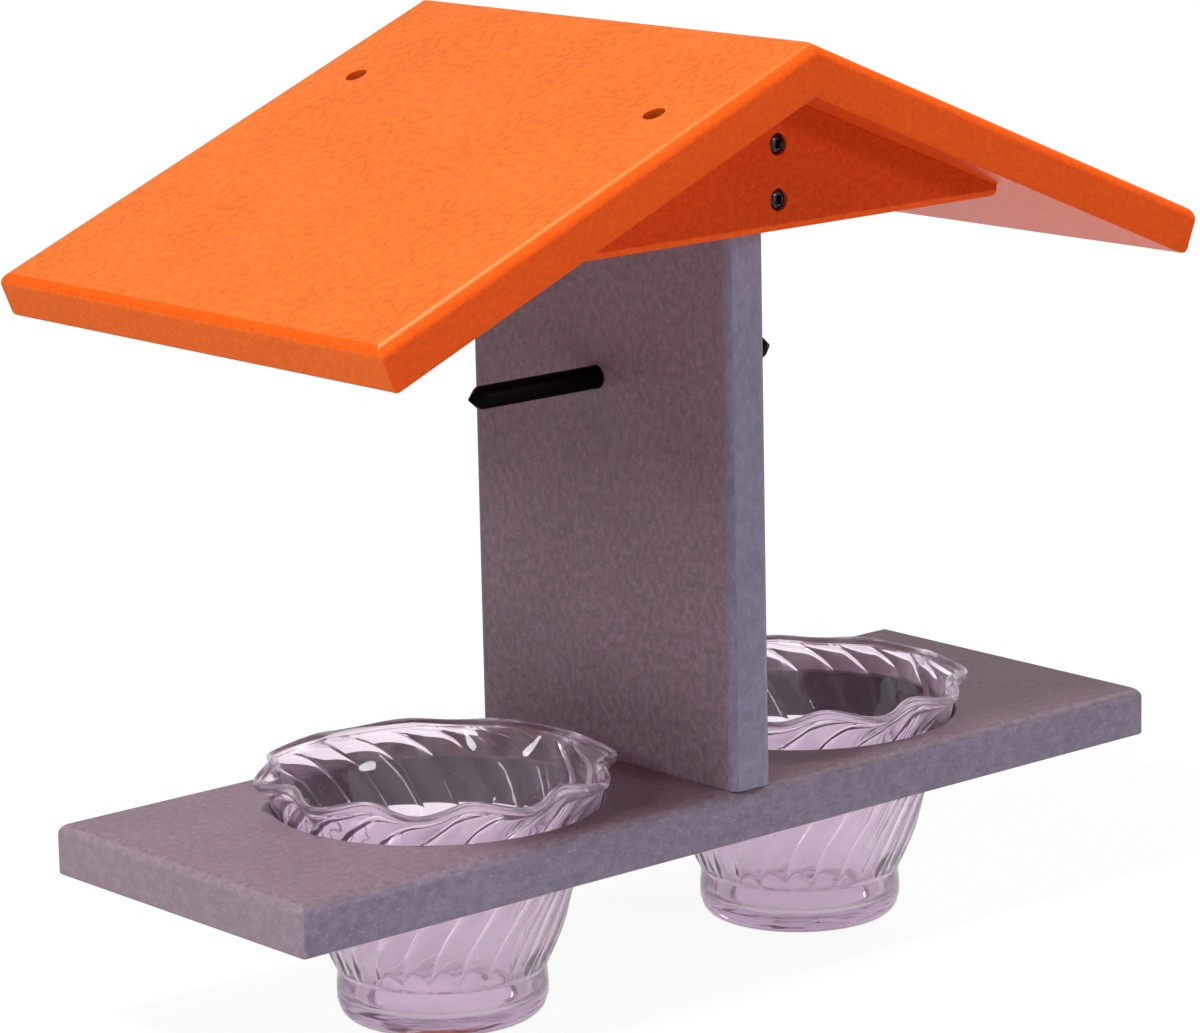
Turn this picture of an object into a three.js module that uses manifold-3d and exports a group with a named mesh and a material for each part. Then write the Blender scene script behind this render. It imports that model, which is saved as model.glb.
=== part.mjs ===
// Oriole feeder: a roofed stand of plastic boards with a fruit spike and two clear cups that lift out.
// Millimetres, +Z up, +X along the base, front towards -Y. The origin is the centre of the base's underside.

import * as THREE from 'three';
import { mergeVertices } from 'three/addons/utils/BufferGeometryUtils.js';
import Module from 'manifold-3d';

const wasm = await Module();
wasm.setup();

// Base board, with a round hole for each cup
const baseLength = 304.8;
const baseWidth = 106;
const baseThickness = 14;
const baseEdgeRound = 3;
const cupHoleRadius = 44.45;
const cupSpacing = 132;

// Upright board, on edge across the middle of the base and as wide as it
const uprightThickness = 14;
const uprightWidth = baseWidth;
const uprightEdgeRound = 3;

// Roof: two panels that meet in a plumb mitre at the ridge
const ridgeHeight = 202;
const roofPitch = THREE.MathUtils.degToRad(22.5);
const roofSlope = 156.5;
const roofDepth = 161;
const roofThickness = 12.8;
const roofEdgeRound = 3.5;
const eaveUnderRound = 2;

// Gables: low triangles between the upright's edges and the roof
const gableThickness = 12.8;
const gableHeight = 36;
const gableTip = 2.8;
const gableEdgeRound = 2.5;

// Screws: pan heads sunk level in counterbores, with a square socket; the roof's are driven deeper, and lie a
// little outside the middle of the gables' thickness
const screwLength = 25.4;
const screwRadius = 1.75;
const screwPoint = 4;
const screwHeadRadius = 2.7;
const screwHeadHeight = 2;
const screwHeadSide = 0.8;
const screwSink = 0.1;
const socketWidth = 2.3;
const socketDepth = 1.2;
const counterboreRadius = 3.1;
const roofScrewFromRidge = 41.4;
const roofScrewDeeper = 1.9;
const roofScrewOut = 1.4;
const gableScrewFromFoot = 8.4;
const gableScrewSpacing = 14.5;
const baseScrewSpacing = 60;

// Fruit spike: a round rod through the upright, pointed at both ends
const spikeRadius = 3.175;
const spikeLength = 108.6;
const spikePoint = 3.2;
const spikeHeight = 106.2;
const spikeOffset = 2.7;

// Cups: fluted, swirled bowls on a plain foot, with a ruffled rim; heights are from the base's top
const cupRimFlare = 2.95;
const cupRimRise = 9.3;
const cupShoulderRadius = 36.5;
const cupShoulderDepth = 23;
const cupBellyRadius = 33;
const cupBellyDepth = 35;
const cupWaistRadius = 28.2;
const cupWaistDepth = 46;
const cupFootRadius = 28.5;
const cupFootRound = 4.4;
const cupDepth = 58.5;
const cupWall = 2.6;
const cupFloor = 5;
const cupFloorRound = 3;
const footRecessRadius = 21;
const footRecessDepth = 2;
const lipRise = 0.6;
const fluteCount = 25;
const fluteDepth = 1.1;
const fluteFade = 8;
const swirlAngle = THREE.MathUtils.degToRad(52);
const lobeCount = 10;
const ruffleOut = 2.2;
const ruffleDrop = 1;
const leftCupTurn = THREE.MathUtils.degToRad(8.8);
const rightCupTurn = THREE.MathUtils.degToRad(3);

// Clearances: fitGap lies between a piece and what it fits, mitreGap between the roof panels,
// and overrun is how far a cutting shape passes the face that it cuts
const fitGap = 0.3;
const mitreGap = 0.3;
const overrun = 5;

// Facets of round edges, turned pieces, the cup holes and the cups' walls
const roundSegments = 6;
const turnedSides = 16;
const holeSides = 72;
const headSegments = 4;
const footSegments = 3;
const wallSegments = 8;
const cupSides = 4 * fluteCount;

// Places that follow from the sizes
const ridgeTop = baseThickness + ridgeHeight;
const ridgeUnderside = ridgeTop - roofThickness / Math.cos(roofPitch);
const uprightTop = ridgeUnderside - (uprightThickness / 2) * Math.tan(roofPitch) - fitGap;
const gableApex = ridgeUnderside - fitGap / Math.cos(roofPitch);
const gableFoot = gableApex - gableHeight;
const gableReach = (gableHeight - gableTip) / Math.tan(roofPitch);
const gableMiddle = uprightWidth / 2 + gableThickness / 2;
const headUnderside = screwSink + screwHeadHeight;

// Materials
const orangeBoard = new THREE.MeshStandardMaterial({ color: 0xec6420, roughness: 0.5, metalness: 0 });
const greyBoard = new THREE.MeshStandardMaterial({ color: 0x7f767c, roughness: 0.6, metalness: 0 });
const blackRod = new THREE.MeshStandardMaterial({ color: 0x151316, roughness: 0.4, metalness: 0 });
const darkSteel = new THREE.MeshStandardMaterial({ color: 0x57504e, roughness: 0.35, metalness: 0.9 });
const clearPlastic = new THREE.MeshStandardMaterial({
  color: 0xece4ee, roughness: 0.05, metalness: 0, transparent: true, opacity: 0.4
});

// A closed solid from a geometry: corners at one place are welded, and triangles that collapse are dropped.
function solidOf(geometry) {
  const bare = geometry.clone();
  bare.deleteAttribute('normal');
  bare.deleteAttribute('uv');
  const welded = mergeVertices(bare);
  const corners = welded.index.array;
  const triangles = [];
  for (let k = 0; k < corners.length; k += 3) {
    const [a, b, c] = corners.slice(k, k + 3);
    if (a !== b && b !== c && c !== a) triangles.push(a, b, c);
  }
  return new wasm.Manifold(new wasm.Mesh({
    numProp: 3,
    vertProperties: welded.attributes.position.array,
    triVerts: Uint32Array.from(triangles)
  }));
}

function geometryOf(solid) {
  const surface = solid.getMesh();
  const geometry = new THREE.BufferGeometry();
  geometry.setAttribute('position', new THREE.BufferAttribute(surface.vertProperties, 3));
  geometry.setIndex(new THREE.BufferAttribute(surface.triVerts, 1));
  geometry.computeVertexNormals();
  return geometry;
}

// A rectangular outline whose lower and upper corners each have their own rounding.
function boardOutline(left, bottom, right, top, lowerRound, upperRound) {
  const outline = new THREE.Shape();
  outline.moveTo(left + lowerRound, bottom);
  turnCorner(outline, right - lowerRound, bottom + lowerRound, lowerRound, -Math.PI / 2);
  turnCorner(outline, right - upperRound, top - upperRound, upperRound, 0);
  turnCorner(outline, left + upperRound, top - upperRound, upperRound, Math.PI / 2);
  turnCorner(outline, left + lowerRound, bottom + lowerRound, lowerRound, Math.PI);
  return outline;
}

function turnCorner(outline, x, y, round, startAngle) {
  if (round > 0) outline.absarc(x, y, round, startAngle, startAngle + Math.PI / 2);
  else outline.lineTo(x, y);
}

function extrude(outline, depth) {
  return new THREE.ExtrudeGeometry(outline, { depth, bevelEnabled: false, curveSegments: roundSegments });
}

// A board shaped by two outlines: one seen from the front, which runs along Y from yStart to yEnd, and one
// seen from the end, which runs along X from xStart to xEnd. What both hold is the board.
function crossedBoard(frontOutline, [yStart, yEnd], endOutline, [xStart, xEnd]) {
  const alongY = extrude(frontOutline, yEnd - yStart);
  alongY.rotateX(Math.PI / 2);
  alongY.translate(0, yEnd, 0);
  const alongX = extrude(endOutline, xEnd - xStart);
  alongX.rotateX(Math.PI / 2);
  alongX.rotateZ(Math.PI / 2);
  alongX.translate(xStart, 0, 0);
  return geometryOf(solidOf(alongY).intersect(solidOf(alongX)));
}

// A turned piece: a profile of radius and height, from the axis back to the axis, spun about Z.
function turned(profile, sides) {
  const points = profile.map(([radius, height]) => new THREE.Vector2(radius, height));
  return new THREE.LatheGeometry(points, sides).rotateX(Math.PI / 2);
}

// Cuts a hole through a placed board wherever one of the placed pieces passes through it.
function bore(board, holeGeometry, pieces) {
  const toBoard = board.matrixWorld.clone().invert();
  let solid = solidOf(board.geometry);
  for (const piece of pieces) {
    const place = toBoard.clone().multiply(piece.matrixWorld);
    solid = solid.subtract(solidOf(holeGeometry.clone().applyMatrix4(place)));
  }
  board.geometry = geometryOf(solid);
}

function place(parent, name, geometry, material, x, y, z) {
  const mesh = new THREE.Mesh(geometry, material);
  mesh.name = name;
  mesh.position.set(x, y, z);
  parent.add(mesh);
  return mesh;
}

function baseGeometry() {
  const side = boardOutline(-baseLength / 2, 0, baseLength / 2, baseThickness, 0, baseEdgeRound);
  const end = boardOutline(-baseWidth / 2, 0, baseWidth / 2, baseThickness, 0, baseEdgeRound);
  const lengthSpan = [-baseLength / 2 - overrun, baseLength / 2 + overrun];
  const widthSpan = [-baseWidth / 2 - overrun, baseWidth / 2 + overrun];
  return crossedBoard(side, widthSpan, end, lengthSpan);
}

function uprightGeometry() {
  const x = uprightThickness / 2;
  const y = uprightWidth / 2;
  const section = boardOutline(-x, -y, x, y, uprightEdgeRound, uprightEdgeRound);
  return extrude(section, uprightTop - baseThickness);
}

// A gable stands on z = 0 with its inner face on y = 0 and its outer face in front.
function gableGeometry() {
  const triangle = new THREE.Shape();
  triangle.moveTo(-gableReach, 0);
  triangle.lineTo(gableReach, 0);
  triangle.lineTo(gableReach, gableTip);
  triangle.lineTo(0, gableHeight);
  triangle.lineTo(-gableReach, gableTip);
  const section = boardOutline(-gableThickness, 0, 0, gableHeight + overrun, gableEdgeRound, 0);
  const widthSpan = [-gableReach - overrun, gableReach + overrun];
  return crossedBoard(triangle, [-gableThickness - overrun, overrun], section, widthSpan);
}

// A roof panel runs down its slope along +X from the ridge, with its top face on z = 0.
function roofPanelGeometry() {
  const ridge = mitreGap / 2 / Math.cos(roofPitch);
  const slope = new THREE.Shape();
  slope.moveTo(ridge, 0);
  slope.lineTo(ridge + roofThickness * Math.tan(roofPitch), -roofThickness);
  turnCorner(slope, roofSlope - eaveUnderRound, eaveUnderRound - roofThickness, eaveUnderRound, -Math.PI / 2);
  turnCorner(slope, roofSlope - roofEdgeRound, -roofEdgeRound, roofEdgeRound, 0);
  const end = boardOutline(-roofDepth / 2, -roofThickness, roofDepth / 2, 0, 0, roofEdgeRound);
  const depthSpan = [-roofDepth / 2 - overrun, roofDepth / 2 + overrun];
  return crossedBoard(slope, depthSpan, end, [-overrun, roofSlope + overrun]);
}

// A screw points down from a board's face on z = 0, with its head below that face.
function screwGeometry() {
  const tip = -headUnderside - screwLength;
  const profile = [
    [0, tip], [screwRadius, tip + screwPoint], [screwRadius, -headUnderside], [screwHeadRadius, -headUnderside]
  ];
  for (let k = 0; k < headSegments; k += 1) {
    const angle = (k / headSegments) * Math.PI / 2;
    const height = screwHeadSide + (screwHeadHeight - screwHeadSide) * Math.sin(angle) - headUnderside;
    profile.push([screwHeadRadius * Math.cos(angle), height]);
  }
  profile.push([0, -screwSink]);
  const socket = new THREE.BoxGeometry(socketWidth, socketWidth, 2 * socketDepth).translate(0, 0, -screwSink);
  return geometryOf(solidOf(turned(profile, turnedSides)).subtract(solidOf(socket)));
}

function screwHoleGeometry() {
  const seat = -headUnderside - fitGap;
  const end = -headUnderside - screwLength - fitGap;
  const pilotRadius = screwRadius + fitGap;
  return turned([
    [0, end], [pilotRadius, end], [pilotRadius, seat],
    [counterboreRadius, seat], [counterboreRadius, overrun], [0, overrun]
  ], turnedSides);
}

function spikeGeometry() {
  const half = spikeLength / 2;
  return turned([
    [0, -half], [spikeRadius, spikePoint - half], [spikeRadius, half - spikePoint], [0, half]
  ], turnedSides);
}

// A straight round hole along Z.
function roundHoleGeometry(radius, length, sides) {
  return turned([[0, -length / 2], [radius, -length / 2], [radius, length / 2], [0, length / 2]], sides);
}

// One ring of a cup's skin: flutes hollow it between sharp ridges, the swirl turns it, and the ruffle waves it
// out and down. A flute is fluteDepth deep where it passes the hole, and shallower lower down, where it is
// narrower, because its curve across stays the same.
function cupRing(radius, height, swirl, flute, ruffle) {
  const depth = flute * fluteDepth * (radius / cupHoleRadius) ** 2;
  const ring = [];
  for (let k = 0; k < cupSides; k += 1) {
    const turn = k / cupSides;
    const angle = turn * 2 * Math.PI + swirl;
    const across = 2 * ((turn * fluteCount) % 1) - 1;
    const hollow = depth * (1 - across ** 2);
    const wave = ruffle * Math.cos(lobeCount * angle);
    const reach = radius - hollow + ruffleOut * wave;
    ring.push([reach * Math.cos(angle), reach * Math.sin(angle), height - ruffleDrop * wave]);
  }
  return ring;
}

// A closed skin over a stack of rings, with a fan of triangles to a pole at each end.
function skinOverRings(firstPole, rings, lastPole) {
  const points = [firstPole, ...rings.flat(), lastPole];
  const sides = rings[0].length;
  const corner = (ring, k) => 1 + ring * sides + (k % sides);
  const triangles = [];
  for (let k = 0; k < sides; k += 1) {
    triangles.push(0, corner(0, k + 1), corner(0, k));
    for (let ring = 0; ring + 1 < rings.length; ring += 1) {
      triangles.push(corner(ring, k), corner(ring, k + 1), corner(ring + 1, k + 1));
      triangles.push(corner(ring, k), corner(ring + 1, k + 1), corner(ring + 1, k));
    }
    triangles.push(points.length - 1, corner(rings.length - 1, k), corner(rings.length - 1, k + 1));
  }
  const geometry = new THREE.BufferGeometry();
  geometry.setAttribute('position', new THREE.Float32BufferAttribute(points.flat(), 3));
  geometry.setIndex(triangles);
  geometry.computeVertexNormals();
  return geometry;
}

// A cup hangs from z = 0, the level at which its wall fills its hole.
function cupGeometry() {
  const seatRadius = cupHoleRadius - fitGap;
  const wall = new THREE.SplineCurve([
    new THREE.Vector2(cupWaistRadius, -cupWaistDepth),
    new THREE.Vector2(cupBellyRadius, -cupBellyDepth),
    new THREE.Vector2(cupShoulderRadius, -cupShoulderDepth),
    new THREE.Vector2(seatRadius, 0),
    new THREE.Vector2(seatRadius + cupRimFlare, cupRimRise)
  ]);
  const recessTop = footRecessDepth - cupDepth;
  const rings = [cupRing(footRecessRadius - footRecessDepth, recessTop, 0, 0, 0)];
  rings.push(cupRing(footRecessRadius, -cupDepth, 0, 0, 0));
  for (let k = 0; k <= footSegments; k += 1) {
    const angle = (k / footSegments) * Math.PI / 2;
    const inset = cupFootRound * (1 - Math.sin(angle));
    rings.push(cupRing(cupFootRadius - inset, cupFootRound * (1 - Math.cos(angle)) - cupDepth, 0, 0, 0));
  }
  const ruffleAt = (height) => Math.max(0, height / cupRimRise);
  const swirlAt = (rise) => swirlAngle * rise ** 2;
  const fluteAt = (rise) => 1 - (2 * rise - 1) ** fluteFade;
  for (let k = 0; k <= wallSegments; k += 1) {
    const rise = k / wallSegments;
    const { x: radius, y: height } = wall.getPoint(rise);
    rings.push(cupRing(radius, height, swirlAt(rise), fluteAt(rise), ruffleAt(height)));
  }
  const lipRadius = seatRadius + cupRimFlare - cupWall / 2;
  rings.push(cupRing(lipRadius, cupRimRise + lipRise, swirlAngle, 0, 1));
  for (let k = wallSegments; k > 0; k -= 1) {
    const rise = k / wallSegments;
    const { x: radius, y: height } = wall.getPoint(rise);
    rings.push(cupRing(radius - cupWall, height, swirlAt(rise), 0, ruffleAt(height)));
  }
  const floor = cupFloor - cupDepth;
  rings.push(cupRing(cupWaistRadius - cupWall, floor + cupFloorRound, 0, 0, 0));
  rings.push(cupRing(cupWaistRadius - cupWall - cupFloorRound, floor, 0, 0, 0));
  return skinOverRings([0, 0, recessTop], rings, [0, 0, floor]);
}

const feeder = new THREE.Group();
const base = place(feeder, 'base_board', baseGeometry(), greyBoard, 0, 0, 0);
const upright = place(feeder, 'upright_board', uprightGeometry(), greyBoard, 0, 0, baseThickness);

// Screws from below hold the upright on the base
const baseScrews = [['front', -1], ['rear', 1]].map(([end, towards]) => {
  const y = (towards * baseScrewSpacing) / 2;
  const screw = place(feeder, `base_screw_${end}`, screwGeometry(), darkSteel, 0, y, 0);
  screw.rotation.x = Math.PI;
  return screw;
});

// A gable lies over each edge of the upright, on two screws; the rear end is the front end turned about
const gables = [];
const gableScrews = [];
for (const [end, turn] of [['front', 0], ['rear', Math.PI]]) {
  const half = new THREE.Group();
  half.rotation.z = turn;
  feeder.add(half);
  const innerFace = -uprightWidth / 2;
  gables.push(place(half, `${end}_gable`, gableGeometry(), orangeBoard, 0, innerFace, gableFoot));
  for (const [level, rise] of [['lower', 0], ['upper', gableScrewSpacing]]) {
    const height = gableFoot + gableScrewFromFoot + rise;
    const name = `${end}_gable_screw_${level}`;
    const screw = place(half, name, screwGeometry(), darkSteel, 0, innerFace - gableThickness, height);
    screw.rotation.x = Math.PI / 2;
    gableScrews.push(screw);
  }
}

// A roof panel slopes down on each side, screwed into the top of both gables
const panels = [];
const roofScrews = [];
for (const [side, turn, front] of [['right', 0, -1], ['left', Math.PI, 1]]) {
  const half = new THREE.Group();
  half.rotation.z = turn;
  feeder.add(half);
  const slope = new THREE.Group();
  slope.position.z = ridgeTop;
  slope.rotation.y = roofPitch;
  half.add(slope);
  panels.push(place(slope, `${side}_roof_panel`, roofPanelGeometry(), orangeBoard, 0, 0, 0));
  for (const [end, towards] of [['front', front], ['rear', -front]]) {
    const name = `${side}_roof_screw_${end}`;
    const y = towards * (gableMiddle + roofScrewOut);
    roofScrews.push(place(slope, name, screwGeometry(), darkSteel, roofScrewFromRidge, y, -roofScrewDeeper));
  }
}

// The fruit spike crosses the upright, and a cup hangs in each hole of the base
const spikeZ = baseThickness + spikeHeight;
const spike = place(feeder, 'fruit_spike', spikeGeometry(), blackRod, spikeOffset, 0, spikeZ);
spike.rotation.y = Math.PI / 2;
const cups = [['left', -1, leftCupTurn], ['right', 1, rightCupTurn]].map(([side, towards, turn]) => {
  const x = (towards * cupSpacing) / 2;
  const cup = place(feeder, `${side}_cup`, cupGeometry(), clearPlastic, x, 0, baseThickness);
  cup.rotation.z = turn;
  return cup;
});

feeder.updateMatrixWorld(true);
const screwHole = screwHoleGeometry();
bore(base, roundHoleGeometry(cupHoleRadius, 2 * (baseThickness + overrun), holeSides), cups);
bore(base, screwHole, baseScrews);
bore(upright, screwHole, [...baseScrews, ...gableScrews]);
bore(upright, roundHoleGeometry(spikeRadius + fitGap, spikeLength, turnedSides), [spike]);
for (const gable of gables) bore(gable, screwHole, [...gableScrews, ...roofScrews]);
for (const panel of panels) bore(panel, screwHole, roofScrews);

export default feeder;
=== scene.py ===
import math

import bmesh
import bpy
from mathutils import Matrix, Vector


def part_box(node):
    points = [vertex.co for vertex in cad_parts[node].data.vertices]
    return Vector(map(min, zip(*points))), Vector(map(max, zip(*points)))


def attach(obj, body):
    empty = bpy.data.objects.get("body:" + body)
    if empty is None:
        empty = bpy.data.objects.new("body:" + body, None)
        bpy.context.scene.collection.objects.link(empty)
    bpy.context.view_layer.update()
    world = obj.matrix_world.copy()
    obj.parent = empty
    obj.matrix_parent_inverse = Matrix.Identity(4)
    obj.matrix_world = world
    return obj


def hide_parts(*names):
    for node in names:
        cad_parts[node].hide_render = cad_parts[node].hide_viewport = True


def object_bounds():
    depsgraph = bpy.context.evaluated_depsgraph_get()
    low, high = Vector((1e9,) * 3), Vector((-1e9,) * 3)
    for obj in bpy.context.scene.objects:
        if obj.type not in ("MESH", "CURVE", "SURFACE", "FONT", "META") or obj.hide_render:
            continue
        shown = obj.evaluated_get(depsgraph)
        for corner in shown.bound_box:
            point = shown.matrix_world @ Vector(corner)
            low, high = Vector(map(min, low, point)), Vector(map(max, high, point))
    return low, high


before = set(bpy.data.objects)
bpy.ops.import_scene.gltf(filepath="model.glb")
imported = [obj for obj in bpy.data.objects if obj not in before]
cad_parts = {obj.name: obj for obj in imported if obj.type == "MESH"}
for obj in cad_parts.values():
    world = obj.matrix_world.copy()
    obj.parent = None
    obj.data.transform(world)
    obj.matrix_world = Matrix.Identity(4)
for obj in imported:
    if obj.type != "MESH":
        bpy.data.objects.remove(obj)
cad_low, cad_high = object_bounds()


# Base board
# A plank of grey plastic lumber, sawn from sheet a little over half an inch thick. A router has rounded its
# upper edges, a hole saw has cut the two cup holes, and two screw holes are counterbored from below.

base_low, base_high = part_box("base_board")
base_thickness = base_high.z - base_low.z
base_top_round = 0.003
base_under_round = 0.0008
board_corner_round = 0.0008
cup_hole_radius = 0.04445
hole_edge_round = 0.0006
counterbore_radius = 0.0030
counterbore_edge = 0.00012
counterbore_depth = 0.0024
pilot_radius = 0.00205
pilot_depth = 0.0278
round_steps = 8
corner_steps = 4
hole_sides = 128
bore_sides = 48
overrun = 0.002
sharp_angle = math.radians(40)


def stand_back(depth, thickness, upper_round, lower_round):
    """How far a side stands back from its line, at a depth below the upper face, where its edges are
    rounded."""
    back = 0.0
    for rounding, reach in ((upper_round, depth), (lower_round, thickness - depth)):
        if reach < rounding:
            back = max(back, rounding - math.sqrt(rounding ** 2 - (rounding - reach) ** 2))
    return back


def board_ring(corners, steps, corner_rounds):
    """A board's outline with each side moved in by its own step, and each corner a little rounded."""
    count = len(corners)
    moved = []
    for k, here in enumerate(corners):
        last = (here - corners[k - 1]).normalized()
        following = (corners[(k + 1) % count] - here).normalized()
        start = here + last.orthogonal() * steps[k - 1]
        end = here + following.orthogonal() * steps[k]
        moved.append(start + last * ((end - start).cross(following) / last.cross(following)))
    ring = []
    for k, here in enumerate(moved):
        to_last = (moved[k - 1] - here).normalized()
        to_next = (moved[(k + 1) % count] - here).normalized()
        half = to_last.angle(to_next) / 2
        centre = here + (to_last + to_next).normalized() * (corner_rounds[k] / math.sin(half))
        spoke = here + to_last * (corner_rounds[k] / math.tan(half)) - centre
        for j in range(corner_steps + 1):
            ring.append(centre + Matrix.Rotation((math.pi - 2 * half) * j / corner_steps, 2) @ spoke)
    return ring


def skin(mesh, rings, cap):
    """Joins rings of points with quads, and closes the first and last ring with a face each where cap is
    set."""
    loops = [[mesh.verts.new(point) for point in ring] for ring in rings]
    for upper, lower in zip(loops, loops[1:]):
        for k in range(len(upper)):
            mesh.faces.new((upper[k - 1], lower[k - 1], lower[k], upper[k]))
    if cap:
        mesh.faces.new(loops[0])
        mesh.faces.new(reversed(loops[-1]))


def stand(name, mesh, place):
    """Turns a bmesh into an object of the scene at a place."""
    bmesh.ops.recalc_face_normals(mesh, faces=mesh.faces)
    data = bpy.data.meshes.new(name)
    mesh.to_mesh(data)
    mesh.free()
    made = bpy.data.objects.new(name, data)
    made.matrix_world = place
    bpy.context.scene.collection.objects.link(made)
    return made


def routed_board(name, corners, sides, thickness, corner_rounds, place):
    """A board whose upper face lies on z = 0. Each side, from one corner to the next, has the rounding of
    its upper and lower edge and its slant, the distance that it leans in for each unit of depth."""
    depths = {0.0, thickness}
    for upper_round, lower_round, _ in sides:
        for k in range(1, round_steps + 1):
            share = 1 - math.cos(k / round_steps * math.pi / 2)
            depths.update((upper_round * share, thickness - lower_round * share))
    rings = []
    for depth in sorted(depths):
        steps = [
            stand_back(depth, thickness, upper_round, lower_round) + slant * depth
            for upper_round, lower_round, slant in sides
        ]
        rings.append([(point.x, point.y, -depth) for point in board_ring(corners, steps, corner_rounds)])
    mesh = bmesh.new()
    skin(mesh, rings, cap=True)
    return stand(name, mesh, place)


def circle(radius, height, sides):
    """A level ring of points about Z."""
    angles = [2 * math.pi * k / sides for k in range(sides)]
    return [(radius * math.cos(angle), radius * math.sin(angle), height) for angle in angles]


def turned(name, profile, sides, place):
    """A closed piece turned about Z from points of radius and height, the first and last of them on the
    axis."""
    mesh = bmesh.new()
    skin(mesh, [circle(radius, height, sides) for radius, height in profile[1:-1]], cap=False)
    mesh.verts.ensure_lookup_table()
    for height, first in ((profile[0][1], 0), (profile[-1][1], len(mesh.verts) - sides)):
        pole = mesh.verts.new((0, 0, height))
        mesh.verts.ensure_lookup_table()
        for k in range(sides):
            mesh.faces.new((pole, mesh.verts[first + k], mesh.verts[first + (k + 1) % sides]))
    return stand(name, mesh, place)


def drill(board, cutters):
    """Cuts the cutters out of a board and clears them away."""
    for cutter in cutters:
        cut = board.modifiers.new("cut", "BOOLEAN")
        cut.operation = "DIFFERENCE"
        cut.solver = "EXACT"
        cut.object = cutter
    bpy.context.view_layer.update()
    evaluated = board.evaluated_get(bpy.context.evaluated_depsgraph_get())
    board.data = bpy.data.meshes.new_from_object(evaluated)
    board.modifiers.clear()
    for cutter in cutters:
        bpy.data.objects.remove(cutter)


def through_hole(radius, depth, sides, edge, place):
    """A drill for a plain hole down from z = 0 to a depth, which breaks the edge at both faces."""
    wide = radius + edge
    return turned("drill", [
        (0, -depth - overrun), (wide, -depth - overrun), (wide, -depth), (radius, edge - depth),
        (radius, -edge), (wide, 0), (wide, overrun), (0, overrun),
    ], sides, place)


def screw_hole(place, deeper=0.0):
    """A drill for a counterbored pilot hole down from z = 0, for a screw that may be driven deeper than
    level."""
    wide = counterbore_radius + counterbore_edge
    end, seat = -pilot_depth - deeper, -counterbore_depth - deeper
    return turned("drill", [
        (0, end), (pilot_radius, end), (pilot_radius, seat), (counterbore_radius, seat),
        (counterbore_radius, -counterbore_edge), (wide, 0), (wide, overrun), (0, overrun),
    ], bore_sides, place)


def new_material(name):
    """A material made of nodes; returns it with its node tree and its main shader."""
    material = bpy.data.materials.new(name)
    material.use_nodes = True
    return material, material.node_tree, material.node_tree.nodes["Principled BSDF"]


def add_node(tree, kind, inputs=None, **settings):
    """Adds a shader node, with its settings, and sets or links its inputs."""
    node = tree.nodes.new("ShaderNode" + kind)
    for setting, value in settings.items():
        setattr(node, setting, value)
    for socket, value in (inputs or {}).items():
        if isinstance(value, bpy.types.NodeSocket):
            tree.links.new(value, node.inputs[socket])
        else:
            node.inputs[socket].default_value = value
    return node


def spread(tree, value, low, high, to_low=0.0, to_high=1.0):
    """A value stretched from one range to another and held inside it."""
    return add_node(tree, "MapRange", {
        "Value": value, "From Min": low, "From Max": high, "To Min": to_low, "To Max": to_high,
    }).outputs["Result"]


def combine(tree, operation, first, second):
    """Two values put together by a sum, a product or the like."""
    return add_node(tree, "Math", {0: first, 1: second}, operation=operation).outputs[0]


def blend(tree, factor, first, second):
    """A colour between two others."""
    return add_node(tree, "Mix", {"Factor": factor, "A": first, "B": second}, data_type="RGBA").outputs[2]


def new_group(name, inputs, outputs):
    """A shader node group with named sockets; returns its tree and the nodes of its inputs and outputs."""
    tree = bpy.data.node_groups.new(name, "ShaderNodeTree")
    for socket, kind in inputs.items():
        tree.interface.new_socket(socket, in_out="INPUT", socket_type="NodeSocket" + kind)
    for socket, kind in outputs.items():
        tree.interface.new_socket(socket, in_out="OUTPUT", socket_type="NodeSocket" + kind)
    return tree, tree.nodes.new("NodeGroupInput"), tree.nodes.new("NodeGroupOutput")


# Where the clouds, the grain, the flecks and the roughness start and end among a texture's values.
cloud_range = (0.35, 0.65)
grain_range = (0.36, 0.64)
fleck_pick = (0.70, 1.0)
fleck_reach = (0.55, 0.20)
roughness_range = (0.3, 0.7)
cloud_scale = 35.0
grain_share = 0.8
relief_depth = 0.0004


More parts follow.
